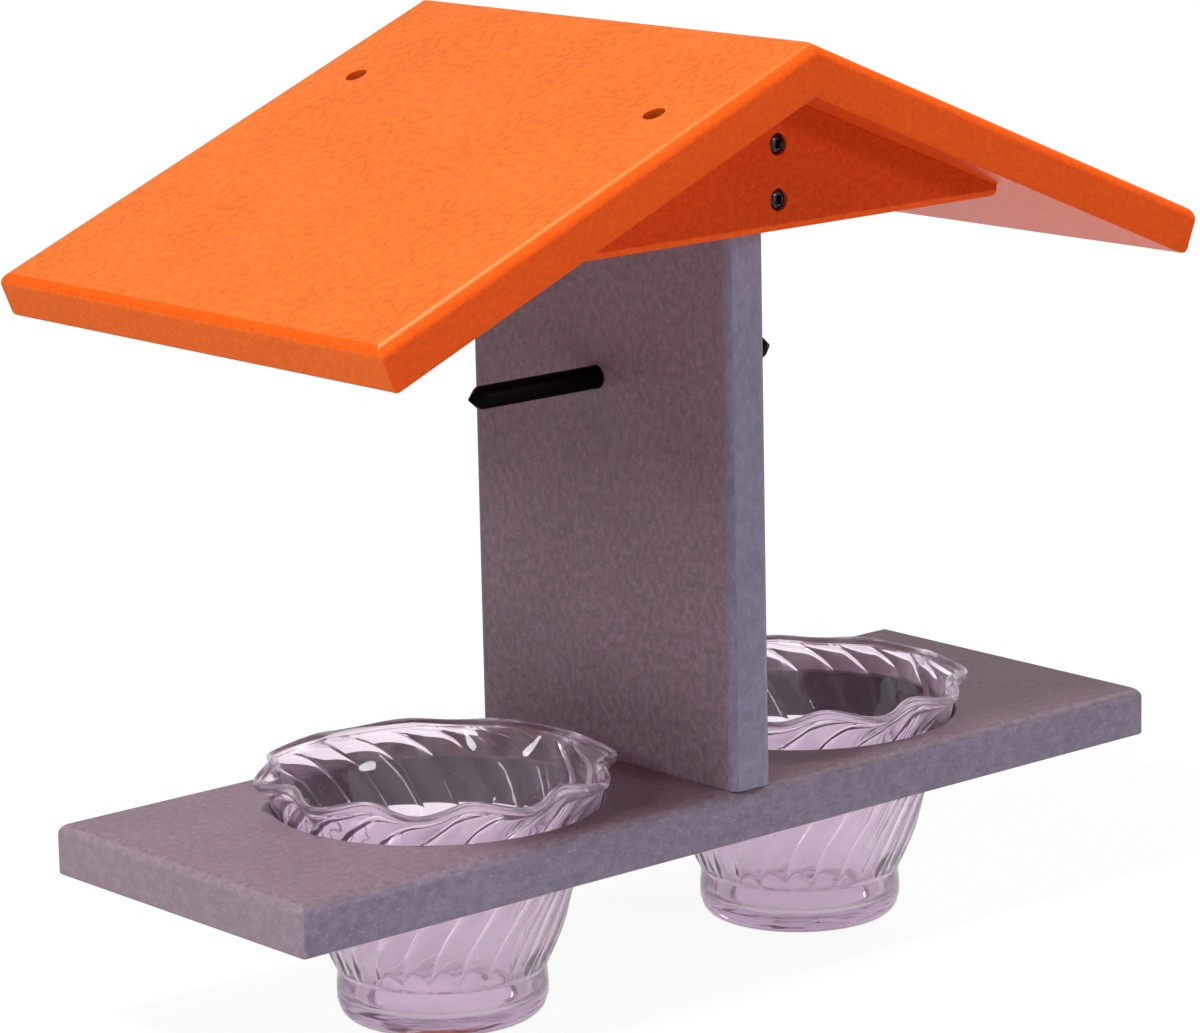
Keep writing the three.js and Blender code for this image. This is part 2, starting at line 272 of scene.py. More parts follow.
def sheet_grain_group():
    """The mottle of pressed plastic sheet: fine grain over slow clouds, with a scatter of fine pale
    flecks."""
    tree, given, result = new_group("sheet_grain", {
        "Coordinates": "Vector", "Colour": "Color", "Shade": "Color", "Fleck": "Color",
        "Grain": "Float", "Fleck Grain": "Float", "Flecks": "Float", "Smooth": "Float", "Rough": "Float",
    }, {"Colour": "Color", "Roughness": "Float", "Height": "Float"})
    sockets = given.outputs
    place = sockets["Coordinates"]
    fine = add_node(tree, "TexNoise", {
        "Vector": place, "Scale": sockets["Grain"], "Detail": 3.0, "Roughness": 0.6,
    }).outputs["Fac"]
    slow = add_node(tree, "TexNoise", {
        "Vector": place, "Scale": cloud_scale, "Detail": 2.0,
    }).outputs["Fac"]
    cloud = combine(
        tree, "ADD", spread(tree, fine, *grain_range, 0.0, grain_share),
        spread(tree, slow, *cloud_range, 0.0, 1 - grain_share),
    )
    mottled = blend(tree, cloud, sockets["Shade"], sockets["Colour"])
    cells = add_node(tree, "TexVoronoi", {"Vector": place, "Scale": sockets["Fleck Grain"]})
    pick = add_node(tree, "SeparateColor", {"Color": cells.outputs["Color"]}).outputs["Red"]
    spot = combine(
        tree, "MULTIPLY", spread(tree, pick, *fleck_pick),
        spread(tree, cells.outputs["Distance"], *fleck_reach),
    )
    mask = combine(tree, "MULTIPLY", spot, sockets["Flecks"])
    tree.links.new(blend(tree, mask, mottled, sockets["Fleck"]), result.inputs["Colour"])
    roughness = spread(tree, fine, *roughness_range, sockets["Smooth"], sockets["Rough"])
    tree.links.new(roughness, result.inputs["Roughness"])
    tree.links.new(fine, result.inputs["Height"])
    return tree


sheet_grain = sheet_grain_group()


def sheet_finish(name, stretch, bump, gloss, values):
    """A plastic sheet's surface: the sheet grain, drawn out along the board, with a shallow relief."""
    material, tree, shader = new_material(name)
    place = add_node(tree, "TexCoord").outputs["Object"]
    drawn = add_node(tree, "Mapping", {"Vector": place, "Scale": stretch}).outputs["Vector"]
    grain = add_node(tree, "Group", {"Coordinates": drawn, **values}, node_tree=sheet_grain).outputs
    relief = add_node(tree, "Bump", {
        "Height": grain["Height"], "Strength": bump, "Distance": relief_depth,
    })
    tree.links.new(grain["Colour"], shader.inputs["Base Color"])
    tree.links.new(grain["Roughness"], shader.inputs["Roughness"])
    tree.links.new(relief.outputs["Normal"], shader.inputs["Normal"])
    shader.inputs["Specular IOR Level"].default_value = gloss
    return material


grey_face = sheet_finish("grey_sheet_face", stretch=(0.85, 1.0, 1.0), bump=0.25, gloss=0.12, values={
    "Colour": (0.231, 0.165, 0.203, 1), "Shade": (0.147, 0.104, 0.130, 1), "Fleck": (0.34, 0.27, 0.32, 1),
    "Grain": 470.0, "Fleck Grain": 1100.0, "Flecks": 0.45, "Smooth": 0.42, "Rough": 0.60,
})
grey_edge = sheet_finish("grey_sheet_cut", stretch=(0.7, 1.0, 1.0), bump=0.12, gloss=0.15, values={
    "Colour": (0.221, 0.183, 0.249, 1), "Shade": (0.159, 0.130, 0.180, 1), "Fleck": (0.40, 0.37, 0.47, 1),
    "Grain": 460.0, "Fleck Grain": 1400.0, "Flecks": 0.36, "Smooth": 0.45, "Rough": 0.60,
})
grey_end = sheet_finish("grey_sheet_end", stretch=(1.0, 0.7, 1.0), bump=0.15, gloss=0.15, values={
    "Colour": (0.238, 0.180, 0.220, 1), "Shade": (0.184, 0.138, 0.170, 1), "Fleck": (0.34, 0.29, 0.34, 1),
    "Grain": 620.0, "Fleck Grain": 1400.0, "Flecks": 0.35, "Smooth": 0.45, "Rough": 0.60,
})
grey_turn = sheet_finish("grey_sheet_rounding", stretch=(0.6, 1.0, 1.0), bump=0.18, gloss=0.12, values={
    "Colour": (0.224, 0.176, 0.222, 1), "Shade": (0.148, 0.114, 0.146, 1), "Fleck": (0.35, 0.30, 0.37, 1),
    "Grain": 500.0, "Fleck Grain": 1300.0, "Flecks": 0.28, "Smooth": 0.44, "Rough": 0.60,
})

# The order of a board's finishes, and how far up or down a facet of a rounding looks where one finish gives
# way to the next.
on_face, on_underside, on_edge, on_end, on_rounding = range(5)
flat_face = 0.98
worn_from = 0.85
worn_to = 0.40


def finish_board(board, finishes, face_reach, edge_reach, node):
    """Gives a board the finishes of its upper face, underside, long edges, ends and roundings, and its
    place in the frame. The face's finish stops at the first reach, and the edge's starts at the second."""
    board.data.materials.clear()
    for finish in finishes:
        board.data.materials.append(finish)
    for polygon in board.data.polygons:
        polygon.use_smooth = True
        if abs(polygon.normal.z) > face_reach:
            polygon.material_index = on_face if polygon.normal.z > 0 else on_underside
        elif abs(polygon.normal.z) > edge_reach:
            polygon.material_index = on_rounding
        else:
            polygon.material_index = on_end if abs(polygon.normal.x) > abs(polygon.normal.y) else on_edge
    board.data.set_sharp_from_angle(angle=sharp_angle)
    board.modifiers.new("even_shading", "WEIGHTED_NORMAL").keep_sharp = True
    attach(board, "frame")
    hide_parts(node)


def rectangle(low_x, low_y, high_x, high_y):
    """Corners of a rectangle, from the lower left against the clock."""
    corners = ((low_x, low_y), (high_x, low_y), (high_x, high_y), (low_x, high_y))
    return [Vector(corner) for corner in corners]


base_place = Matrix.Translation((0, 0, base_high.z))
base_sheet = routed_board(
    "base_sheet", rectangle(base_low.x, base_low.y, base_high.x, base_high.y),
    [(base_top_round, base_under_round, 0.0)] * 4, base_thickness, [board_corner_round] * 4, base_place,
)

# The ruffles make a cup's box a little uneven, so its middle is taken to the millimetre.
cup_centres = {}
for side in ("left", "right"):
    cup_low, cup_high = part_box(side + "_cup")
    cup_centres[side] = round((cup_low.x + cup_high.x) / 2, 3)
head_down = Matrix.Rotation(math.pi, 4, "X")
base_screw_places = {}
for end in ("front", "rear"):
    screw_low, screw_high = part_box("base_screw_" + end)
    middle = (screw_low + screw_high) / 2
    base_screw_places[end] = Matrix.Translation((middle.x, middle.y, base_low.z)) @ head_down
drill(base_sheet, [
    through_hole(
        cup_hole_radius, base_thickness, hole_sides, hole_edge_round,
        base_place @ Matrix.Translation((x, 0, 0)),
    )
    for x in cup_centres.values()
] + [screw_hole(place) for place in base_screw_places.values()])
grey_finishes = (grey_face, grey_face, grey_edge, grey_end, grey_turn)
finish_board(base_sheet, grey_finishes, worn_from, worn_to, "base_board")

# The walls of the cup holes are painted darker than the other cuts, as painted shade. The roundings of the
# ends match
# # the ends.
grey_hole_painted_shade = sheet_finish("grey_sheet_hole_painted_shade", stretch=(1.0, 1.0, 1.0), bump=0.25, gloss=0.08, values={
    "Colour": (0.118, 0.088, 0.114, 1), "Shade": (0.080, 0.059, 0.080, 1), "Fleck": (0.20, 0.17, 0.21, 1),
    "Grain": 460.0, "Fleck Grain": 1100.0, "Flecks": 0.22, "Smooth": 0.55, "Rough": 0.70,
})
base_sheet.data.materials.append(grey_hole_painted_shade)
for polygon in base_sheet.data.polygons:
    from_holes = [math.hypot(polygon.center.x - x, polygon.center.y) for x in cup_centres.values()]
    if abs(polygon.normal.z) < worn_to and min(from_holes) < cup_hole_radius + hole_edge_round:
        polygon.material_index = len(grey_finishes)
    elif polygon.material_index == on_rounding and abs(polygon.normal.x) > abs(polygon.normal.y):
        polygon.material_index = on_end


# Upright board
# A second length of the same grey sheet, set on edge across the middle of the base and as wide as it. Its
# four long edges are rounded over, and a cross hole takes the fruit spike.

upright_low, upright_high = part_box("upright_board")
upright_thickness = upright_high.x - upright_low.x
upright_round = 0.003
upright_end_round = 0.0004
upright_corner_round = 0.0004
spike_low, spike_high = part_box("fruit_spike")
spike_middle = (spike_low + spike_high) / 2
spike_radius = (spike_high.z - spike_low.z) / 2
spike_gap = 0.00004

# The router left these edges a cooler grey than the base's sawn ones.
grey_routed = sheet_finish("grey_sheet_routed", stretch=(0.7, 1.0, 1.0), bump=0.12, gloss=0.15, values={
    "Colour": (0.232, 0.208, 0.292, 1), "Shade": (0.172, 0.152, 0.216, 1), "Fleck": (0.36, 0.34, 0.44, 1),
    "Grain": 460.0, "Fleck Grain": 1100.0, "Flecks": 0.18, "Smooth": 0.45, "Rough": 0.60,
})
routed_turn = sheet_finish(
    "grey_sheet_routed_rounding", stretch=(0.6, 1.0, 1.0), bump=0.15, gloss=0.10, values={
        "Colour": (0.205, 0.178, 0.240, 1), "Shade": (0.146, 0.124, 0.168, 1),
        "Fleck": (0.32, 0.30, 0.38, 1),
        "Grain": 500.0, "Fleck Grain": 1300.0, "Flecks": 0.22, "Smooth": 0.45, "Rough": 0.60,
    },
)

# The board lies with its length along X and its left face up, and is then stood on end.
stood_up = Matrix(((0, 0, -1, 0), (0, 1, 0, 0), (1, 0, 0, 0), (0, 0, 0, 1)))
upright_place = Matrix.Translation((upright_low.x, 0, 0)) @ stood_up
long_edge = (upright_round, upright_round, 0.0)
sawn_end = (upright_end_round, upright_end_round, 0.0)
upright_sheet = routed_board(
    "upright_sheet", rectangle(upright_low.z, upright_low.y, upright_high.z, upright_high.y),
    [long_edge, sawn_end, long_edge, sawn_end], upright_thickness, [upright_corner_round] * 4, upright_place,
)
drill(upright_sheet, [through_hole(
    spike_radius + spike_gap, upright_thickness, bore_sides, spike_gap,
    upright_place @ Matrix.Translation((spike_middle.z, spike_middle.y, 0)),
)])
upright_finishes = (grey_face, grey_face, grey_routed, grey_end, routed_turn)
finish_board(upright_sheet, upright_finishes, flat_face, worn_to, "upright_board")


# Base screws
# Dark steel screws with a pan head and a square socket. They come up through the base into the upright's
# foot, with their heads sunk level in the counterbores.

screw_sink = 0.0001
screw_head_radius = 0.0027
screw_head_height = 0.002
screw_head_side = 0.0008
screw_head_sweep = math.radians(84)
screw_core_radius = 0.0012
screw_thread_radius = 0.00175
screw_thread_pitch = 0.0018
screw_length = 0.0254
screw_point = 0.004
screw_socket_width = 0.0023
screw_socket_depth = 0.0012
screw_sides = 40
steps_per_thread = 6
head_steps = 8
steel_dark = (0.020, 0.012, 0.016, 1)
steel_worn = (0.060, 0.042, 0.052, 1)
steel_smooth = 0.12
steel_rough = 0.24
stain_scale = 900.0
stain_range = (0.35, 0.65)


def screw_steel():
    """Steel with a dark oxide finish, worn unevenly."""
    material, tree, shader = new_material("screw_steel")
    place = add_node(tree, "TexCoord").outputs["Object"]
    stain = add_node(tree, "TexNoise", {
        "Vector": place, "Scale": stain_scale, "Detail": 3.0,
    }).outputs["Fac"]
    colour = blend(tree, spread(tree, stain, *stain_range), steel_dark, steel_worn)
    roughness = spread(tree, stain, *roughness_range, steel_smooth, steel_rough)
    tree.links.new(colour, shader.inputs["Base Color"])
    tree.links.new(roughness, shader.inputs["Roughness"])
    shader.inputs["Metallic"].default_value = 1.0
    return material


steel = screw_steel()


def thread_ring(height, tip):
    """A ring of the screw's shank: a ridge that climbs round the core, and thins out towards the point."""
    taper = min(1.0, (height - tip) / screw_point)
    ring = []
    for k in range(screw_sides):
        turn = k / screw_sides
        phase = (height / screw_thread_pitch - turn) % 1.0
        ridge = max(0.0, 1 - abs(2 * phase - 1) * 2)
        radius = taper * (screw_core_radius + ridge * (screw_thread_radius - screw_core_radius))
        ring.append((radius * math.cos(2 * math.pi * turn), radius * math.sin(2 * math.pi * turn), height))
    return ring


def screw(node, place):
    """A screw that points down from a board's face on z = 0, fixed at a place."""
    seat = -screw_sink - screw_head_height
    tip = seat - screw_length
    rise = screw_thread_pitch / steps_per_thread
    rings = []
    for k in range(1, int(screw_length / rise)):
        rings.append(thread_ring(tip + k * rise, tip))
    head = [(screw_core_radius, seat), (screw_head_radius, seat)]
    for k in range(head_steps + 1):
        angle = k / head_steps * screw_head_sweep
        dome = (screw_head_height - screw_head_side) * math.sin(angle)
        head.append((screw_head_radius * math.cos(angle), seat + screw_head_side + dome))
    rings += [circle(reach, height, screw_sides) for reach, height in head]
    mesh = bmesh.new()
    skin(mesh, rings, cap=True)
    made = stand(node + "_threaded", mesh, place)
    socket = bmesh.new()
    bmesh.ops.create_cube(socket, size=1.0)
    cut = Matrix.Translation((0, 0, -screw_sink)) @ Matrix.Diagonal(
        (screw_socket_width, screw_socket_width, 2 * screw_socket_depth, 1))
    drill(made, [stand("socket", socket, place @ cut)])
    made.data.materials.clear()
    made.data.materials.append(steel)
    made.data.shade_smooth()
    made.data.set_sharp_from_angle(angle=sharp_angle)
    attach(made, "frame")
    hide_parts(node)


for end, place in base_screw_places.items():
    screw("base_screw_" + end, place)


# Gables
# Low triangles of orange sheet that lie over the upright's front and rear edges and carry the roof. Their
# lower edge is rounded over, and two counterbored holes take the screws into the upright.

gable_low, gable_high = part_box("front_gable")
gable_thickness = gable_high.y - gable_low.y
gable_round = 0.0025
gable_under_round = 0.0008
gable_side_round = 0.00015
gable_corner_round = 0.00005
roof_pitch = math.radians(22.5)
roof_seat_gap = 0.0003
gable_reach = gable_high.x
gable_rise = gable_high.z - gable_low.z + roof_seat_gap / math.cos(roof_pitch)
gable_tip = gable_rise - gable_reach * math.tan(roof_pitch)

# The gables' faces take a darker copy of the orange sheet, painted shade from the roof above them.
orange_painted_shade = sheet_finish(
    "orange_sheet_painted_shade_face", stretch=(0.8, 1.0, 1.0), bump=0.25, gloss=0.05, values={
        "Colour": (0.580, 0.053, 0.004, 1), "Shade": (0.455, 0.036, 0.002, 1), "Fleck": (0.66, 0.10, 0.02, 1),
        "Grain": 620.0, "Fleck Grain": 1500.0, "Flecks": 0.4, "Smooth": 0.45, "Rough": 0.60,
    },
)
orange_edge = sheet_finish("orange_sheet_cut", stretch=(0.8, 1.0, 1.0), bump=0.15, gloss=0.0, values={
    "Colour": (0.720, 0.088, 0.015, 1), "Shade": (0.590, 0.066, 0.009, 1), "Fleck": (0.80, 0.15, 0.03, 1),
    "Grain": 620.0, "Fleck Grain": 1500.0, "Flecks": 0.4, "Smooth": 0.58, "Rough": 0.74,
})
gable_outline = [Vector(corner) for corner in (
    (-gable_reach, 0), (gable_reach, 0), (gable_reach, gable_tip), (0, gable_rise), (-gable_reach, gable_tip),
)]
gable_sides = [(gable_round, gable_under_round, 0.0)] + [(gable_side_round, gable_side_round, 0.0)] * 4
gable_finishes = (orange_painted_shade, orange_painted_shade, orange_edge, orange_edge, orange_edge)
outer_face_up = Matrix.Rotation(math.pi / 2, 4, "X")
half_turn = Matrix.Rotation(math.pi, 4, "Z")
front_place = Matrix.Translation((0, gable_low.y, gable_low.z)) @ outer_face_up
gable_screw_places = {}
for end, place in (("front", front_place), ("rear", half_turn @ front_place)):
    gable = routed_board(
        end + "_gable_sheet", gable_outline, gable_sides, gable_thickness,
        [gable_corner_round] * len(gable_outline), place,
    )
    screw_places = {}
    for level in ("lower", "upper"):
        node = f"{end}_gable_screw_{level}"
        screw_low, screw_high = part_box(node)
        height = (screw_low.z + screw_high.z) / 2 - gable_low.z
        screw_places[node] = place @ Matrix.Translation((0, height, 0))
    drill(gable, [screw_hole(screw_place) for screw_place in screw_places.values()])
    gable_screw_places.update(screw_places)
    finish_board(gable, gable_finishes, flat_face, worn_to, end + "_gable")


# Gable screws
# The same dark steel screws, two to a gable, driven one above the other through it into the edge of the
# upright. Their heads lie level in the counterbores.

for node, place in gable_screw_places.items():
    screw(node, place)


# Roof panels
# Two slabs of orange sheet that slope down from a plumb mitre at the ridge. A router has rounded their upper
# edges; each is screwed down into the tops of both gables.

roof_low, roof_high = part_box("right_roof_panel")
roof_thickness = 0.0128
roof_slope = 0.1565
roof_mitre_gap = 0.00015
roof_round = 0.0035
roof_under_round = 0.0008
eave_round = 0.0027
eave_under_round = 0.002
eave_corner_round = 0.0006
mitre_corner_round = 0.00001
roof_screw_from_ridge = 0.0414
roof_screw_deeper = 0.0017
whole_face = 0.9995

orange_face = sheet_finish("orange_sheet_face", stretch=(0.8, 1.0, 1.0), bump=0.25, gloss=0.08, values={
    "Colour": (0.665, 0.152, 0.022, 1), "Shade": (0.520, 0.091, 0.007, 1), "Fleck": (0.74, 0.21, 0.045, 1),
    "Grain": 470.0, "Fleck Grain": 1500.0, "Flecks": 0.4, "Smooth": 0.40, "Rough": 0.56,
})
orange_underside = sheet_finish(
    "orange_sheet_underside", stretch=(0.8, 1.0, 1.0), bump=0.25, gloss=0.09, values={
        "Colour": (0.700, 0.082, 0.010, 1), "Shade": (0.560, 0.056, 0.006, 1), "Fleck": (0.74, 0.12, 0.03, 1),
        "Grain": 620.0, "Fleck Grain": 1500.0, "Flecks": 0.4, "Smooth": 0.30, "Rough": 0.45,
    },
)
orange_end = sheet_finish("orange_sheet_end", stretch=(1.0, 0.8, 1.0), bump=0.15, gloss=0.08, values={
    "Colour": (0.705, 0.121, 0.013, 1), "Shade": (0.585, 0.092, 0.008, 1), "Fleck": (0.76, 0.18, 0.03, 1),
    "Grain": 620.0, "Fleck Grain": 1500.0, "Flecks": 0.4, "Smooth": 0.58, "Rough": 0.74,
})
orange_turn = sheet_finish("orange_sheet_rounding", stretch=(1.0, 0.8, 1.0), bump=0.15, gloss=0.0, values={
    "Colour": (0.740, 0.096, 0.010, 1), "Shade": (0.620, 0.074, 0.005, 1), "Fleck": (0.80, 0.15, 0.03, 1),
    "Grain": 620.0, "Fleck Grain": 1500.0, "Flecks": 0.4, "Smooth": 0.58, "Rough": 0.74,
})
orange_rake = sheet_finish("orange_sheet_rake", stretch=(0.8, 1.0, 1.0), bump=0.15, gloss=0.0, values={
    "Fleck": (0.80, 0.15, 0.03, 1), "Grain": 620.0, "Fleck Grain": 1500.0, "Flecks": 0.4,
    "Smooth": 0.58, "Rough": 0.74,
})

# The tones across a rake from its flat to the face, and how far up its surface looks where they change.
rake_flat = (0.720, 0.087, 0.014, 1)
rake_deep = (0.780, 0.100, 0.010, 1)
rake_by_face = (0.650, 0.140, 0.019, 1)
# The pale line is a painted highlight where the face starts to turn down, fading towards the ridge.
rake_painted_highlight = (0.790, 0.275, 0.105, 1)
flat_to_deep = (0.1, 0.5)
deep_to_face = (0.88, 0.975)
highlight_begins = (0.82, 0.94)
highlight_ends = (1.0, 0.97)
highlight_at_ridge = 0.25
rake_mottle = 0.15


def tint_rake(tree):
    """A painted highlight, a soft pale line where the face starts to turn down, fades towards the
    ridge. Past it the rounding is a deep orange, and the flat of the rake a duller one."""
    coordinates = add_node(tree, "TexCoord").outputs
    upward = add_node(tree, "SeparateXYZ", {"Vector": coordinates["Normal"]}).outputs["Z"]
    down_slope = add_node(tree, "SeparateXYZ", {"Vector": coordinates["Object"]}).outputs["X"]
    turning = blend(tree, spread(tree, upward, *deep_to_face), rake_deep, rake_by_face)
    plain = blend(tree, spread(tree, upward, *flat_to_deep), rake_flat, turning)
    start = combine(
        tree, "MULTIPLY", spread(tree, upward, *highlight_begins), spread(tree, upward, *highlight_ends),
    )
    highlight_fade = spread(tree, down_slope, 0.0, roof_slope, highlight_at_ridge, 1.0)
    colour = blend(tree, combine(tree, "MULTIPLY", start, highlight_fade), plain, rake_painted_highlight)
    grain = next(node for node in tree.nodes if node.type == "GROUP")
    tree.links.new(colour, grain.inputs["Colour"])
    tree.links.new(blend(tree, rake_mottle, colour, (0, 0, 0, 1)), grain.inputs["Shade"])


tint_rake(orange_rake.node_tree)

# The two mitres are drawn up tight, so each panel starts on the ridge line.
ridge_top = roof_high.z + roof_mitre_gap * math.tan(roof_pitch)
roof_outline = rectangle(0, roof_low.y, roof_slope, roof_high.y)
rake = (roof_round, roof_under_round, 0.0)
eave = (eave_round, eave_under_round, 0.0)
mitre = (0.0, 0.0, math.tan(roof_pitch))
roof_corner_rounds = [mitre_corner_round, eave_corner_round, eave_corner_round, mitre_corner_round]
panel_finishes = (orange_face, orange_underside, orange_rake, orange_end, orange_turn)
slope_down = Matrix.Translation((0, 0, ridge_top)) @ Matrix.Rotation(roof_pitch, 4, "Y")
roof_screw_places = {}
for side, place, across_way in (("right", slope_down, 1), ("left", half_turn @ slope_down, -1)):
    panel = routed_board(
        side + "_roof_sheet", roof_outline, [rake, eave, rake, mitre], roof_thickness, roof_corner_rounds,
        place,
    )
    screw_places = {}
    for end in ("front", "rear"):
        node = f"{side}_roof_screw_{end}"
        screw_low, screw_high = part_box(node)
        across = (screw_low.y + screw_high.y) / 2 * across_way
        screw_places[node] = place @ Matrix.Translation((roof_screw_from_ridge, across, 0))
    drill(panel, [screw_hole(screw_place, roof_screw_deeper) for screw_place in screw_places.values()])
    roof_screw_places.update(screw_places)
    finish_board(panel, panel_finishes, flat_face, worn_to, side + "_roof_panel")
    for polygon in panel.data.polygons:
        if abs(polygon.normal.z) < whole_face and abs(polygon.normal.y) > abs(polygon.normal.x):
            polygon.material_index = on_edge


# Roof screws
# The same screws again, two to a panel, down into the tops of the gables. They are driven deeper than the
# others.

for node, place in roof_screw_places.items():
    screw(node, place @ Matrix.Translation((0, 0, -roof_screw_deeper)))


# Fruit spike
# A quarter-inch rod with a black coat, pushed through the upright and pointed at both ends like a pencil, so
# that a half orange can be pushed on from either side.

spike_half = (spike_high.x - spike_low.x) / 2
spike_point = 0.0036
spike_blunt = 0.0004
spike_blunting = ((0.7, 0.2), (1.0, 0.5))
spike_edge = 0.0003
spike_sides = 64
spike_sharp_angle = math.radians(30)
coat_black = (0.0014, 0.0006, 0.0012, 1)
coat_pitted = (0.003, 0.0015, 0.003, 1)
coat_gloss = 0.03
coat_smooth = 0.40
coat_rough = 0.55
pit_scale = 1400.0
pit_range = (0.4, 0.7)
pit_strength = 0.15
pit_depth = 0.0002


def black_coat():
    """A semi-gloss black coat with faint pits."""
    material, tree, shader = new_material("black_coat")
    place = add_node(tree, "TexCoord").outputs["Object"]
    pits = add_node(tree, "TexNoise", {"Vector": place, "Scale": pit_scale, "Detail": 2.0}).outputs["Fac"]
    colour = blend(tree, spread(tree, pits, *pit_range), coat_black, coat_pitted)
    roughness = spread(tree, pits, *roughness_range, coat_smooth, coat_rough)
    relief = add_node(tree, "Bump", {"Height": pits, "Strength": pit_strength, "Distance": pit_depth})
    tree.links.new(colour, shader.inputs["Base Color"])
    tree.links.new(roughness, shader.inputs["Roughness"])
    tree.links.new(relief.outputs["Normal"], shader.inputs["Normal"])
    shader.inputs["Specular IOR Level"].default_value = coat_gloss
    return material


spike_end = [(spike_blunt * out, spike_half - spike_blunt * back) for out, back in spike_blunting] + [
    (spike_radius - spike_edge, spike_half - spike_point + spike_edge),
    (spike_radius, spike_half - spike_point - spike_edge),
]
spike_profile = (
    [(0, -spike_half)] + [(radius, -height) for radius, height in spike_end]
    + list(reversed(spike_end)) + [(0, spike_half)]
)
lying_along_x = Matrix.Translation(spike_middle) @ Matrix.Rotation(math.pi / 2, 4, "Y")
spike = turned("coated_spike", spike_profile, spike_sides, lying_along_x)
spike.data.materials.append(black_coat())
spike.data.shade_smooth()
spike.data.set_sharp_from_angle(angle=spike_sharp_angle)
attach(spike, "frame")
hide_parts("fruit_spike")


# Cups
# Clear moulded dessert cups that hang in the base's holes by their flare and lift straight out. Swirled
# flutes run up the outside from a plain foot to a ruffled rim with a bead; the inside is smooth.

cup_seat_radius = 0.04415
cup_rim_flare = 0.00295
cup_rim_rise = 0.0093
cup_waist = (0.0282, -0.046)
cup_belly = (0.033, -0.035)
cup_shoulder = (0.0365, -0.023)
cup_foot_radius = 0.0285
cup_foot_crease = -0.0541
crease_depth = 0.0003
crease_height = 0.0002
cup_sole = -0.0585
cup_sole_radius = 0.0246
cup_middle_radius = 0.001
cup_wall = 0.0026
cup_floor = -0.0535
cup_floor_round = 0.003
foot_recess_radius = 0.021
foot_recess_depth = 0.002
foot_recess_edge = 0.0006
flute_count = 25
flute_depth = 0.0010
flute_lean = 0.65
flute_end = 0.0070
flute_end_at_rim = flute_end / 4
swirl_angle = math.radians(52)
lobe_count = 10
ruffle_out = 0.0022
ruffle_drop = 0.001
lip_rise = 0.0006
lip_top = cup_rim_rise + lip_rise
bead_height = 0.0025
bead_out = 0.0003
bead_steps = 10
inside_start = 0.6
cup_turns = {"left": math.radians(8.8), "right": math.radians(3.0)}
columns_per_flute = 12
cup_columns = columns_per_flute * flute_count
foot_steps = 8
outer_rows = 48
inner_rows = 32
floor_steps = 6
halvings = 40
cup_tint = (0.890, 0.790, 0.885, 1)
cup_clearness = 0.95
cup_refraction = 1.5
cup_smooth = 0.02
cup_rough = 0.05
dull_rim = 0.14
dull_sole = 0.35
dull_sole_from = 0.0012
dull_sole_to = 0.0004
ripple_scale = 90.0
ripple_strength = 0.35
ripple_depth = 0.0010
depth_tint = (0.44, 0.25, 0.43, 1)
depth_tint_density = 22.0


def clear_plastic():
    """Clear polished plastic with a trace of lavender, a ripple from the mould, and a duller rim and
    sole."""
    material, tree, shader = new_material("clear_cup")
    shader.inputs["Base Color"].default_value = cup_tint
    shader.inputs["Transmission Weight"].default_value = cup_clearness
    shader.inputs["IOR"].default_value = cup_refraction
    place = add_node(tree, "TexCoord").outputs["Object"]
    ripple = add_node(tree, "TexNoise", {
        "Vector": place, "Scale": ripple_scale, "Detail": 1.0,
    }).outputs["Fac"]
    relief = add_node(tree, "Bump", {
        "Height": ripple, "Strength": ripple_strength, "Distance": ripple_depth,
    })
    level = add_node(tree, "SeparateXYZ", {"Vector": place}).outputs["Z"]
    rim = spread(tree, level, cup_rim_rise - bead_height, cup_rim_rise - bead_height / 2, 0.0, dull_rim)
    sole = spread(tree, level, cup_sole + dull_sole_from, cup_sole + dull_sole_to, 0.0, dull_sole)
    polished = spread(tree, ripple, *roughness_range, cup_smooth, cup_rough)
    roughness = combine(tree, "ADD", polished, combine(tree, "ADD", rim, sole))
    tree.links.new(roughness, shader.inputs["Roughness"])
    tree.links.new(relief.outputs["Normal"], shader.inputs["Normal"])
    absorbed = add_node(tree, "VolumeAbsorption", {"Color": depth_tint, "Density": depth_tint_density})
    tree.links.new(absorbed.outputs["Volume"], tree.nodes["Material Output"].inputs["Volume"])
    return material


cup_plastic = clear_plastic()
wall_points = [Vector(point) for point in (
    cup_waist, cup_belly, cup_shoulder, (cup_seat_radius, 0.0),
    (cup_seat_radius + cup_rim_flare, cup_rim_rise),
)]


def wall_point(rise):
    """Radius and height of the outer wall, on a smooth curve from the waist at rise 0 to the rim at rise
    1."""
    span = min(int(rise * (len(wall_points) - 1)), len(wall_points) - 2)
    t = rise * (len(wall_points) - 1) - span
    before = wall_points[max(span - 1, 0)]
    start, end = wall_points[span], wall_points[span + 1]
    after = wall_points[min(span + 2, len(wall_points) - 1)]
    leave, arrive = (end - before) / 2, (after - start) / 2
    return (
        start * (2 * t ** 3 - 3 * t ** 2 + 1) + leave * (t ** 3 - 2 * t ** 2 + t)
        + end * (3 * t ** 2 - 2 * t ** 3) + arrive * (t ** 3 - t ** 2)
    )


def cup_ring(radius, height, swirl=0.0, flute=0.0, ruffle=0.0):
    """A ring of the cup: flutes hollow it between ridges, the swirl turns it, and the ruffle waves it. A
    flute is shallower lower down, where it is narrower. Where it runs out, its hollow is cut off at a share
    of its depth, which ends it in an arch."""
    depth = flute_depth * radius / cup_hole_radius
    ring = []
    for k in range(cup_columns):
        turn = k / cup_columns
        angle = 2 * math.pi * turn + swirl
        across = 2 * (turn * flute_count % 1.0) ** flute_lean - 1
        wave = ruffle * math.cos(lobe_count * angle)
        reach = radius - depth * min(flute, 1 - across ** 2) + ruffle_out * wave
        ring.append((reach * math.cos(angle), reach * math.sin(angle), height - ruffle_drop * wave))
    return ring


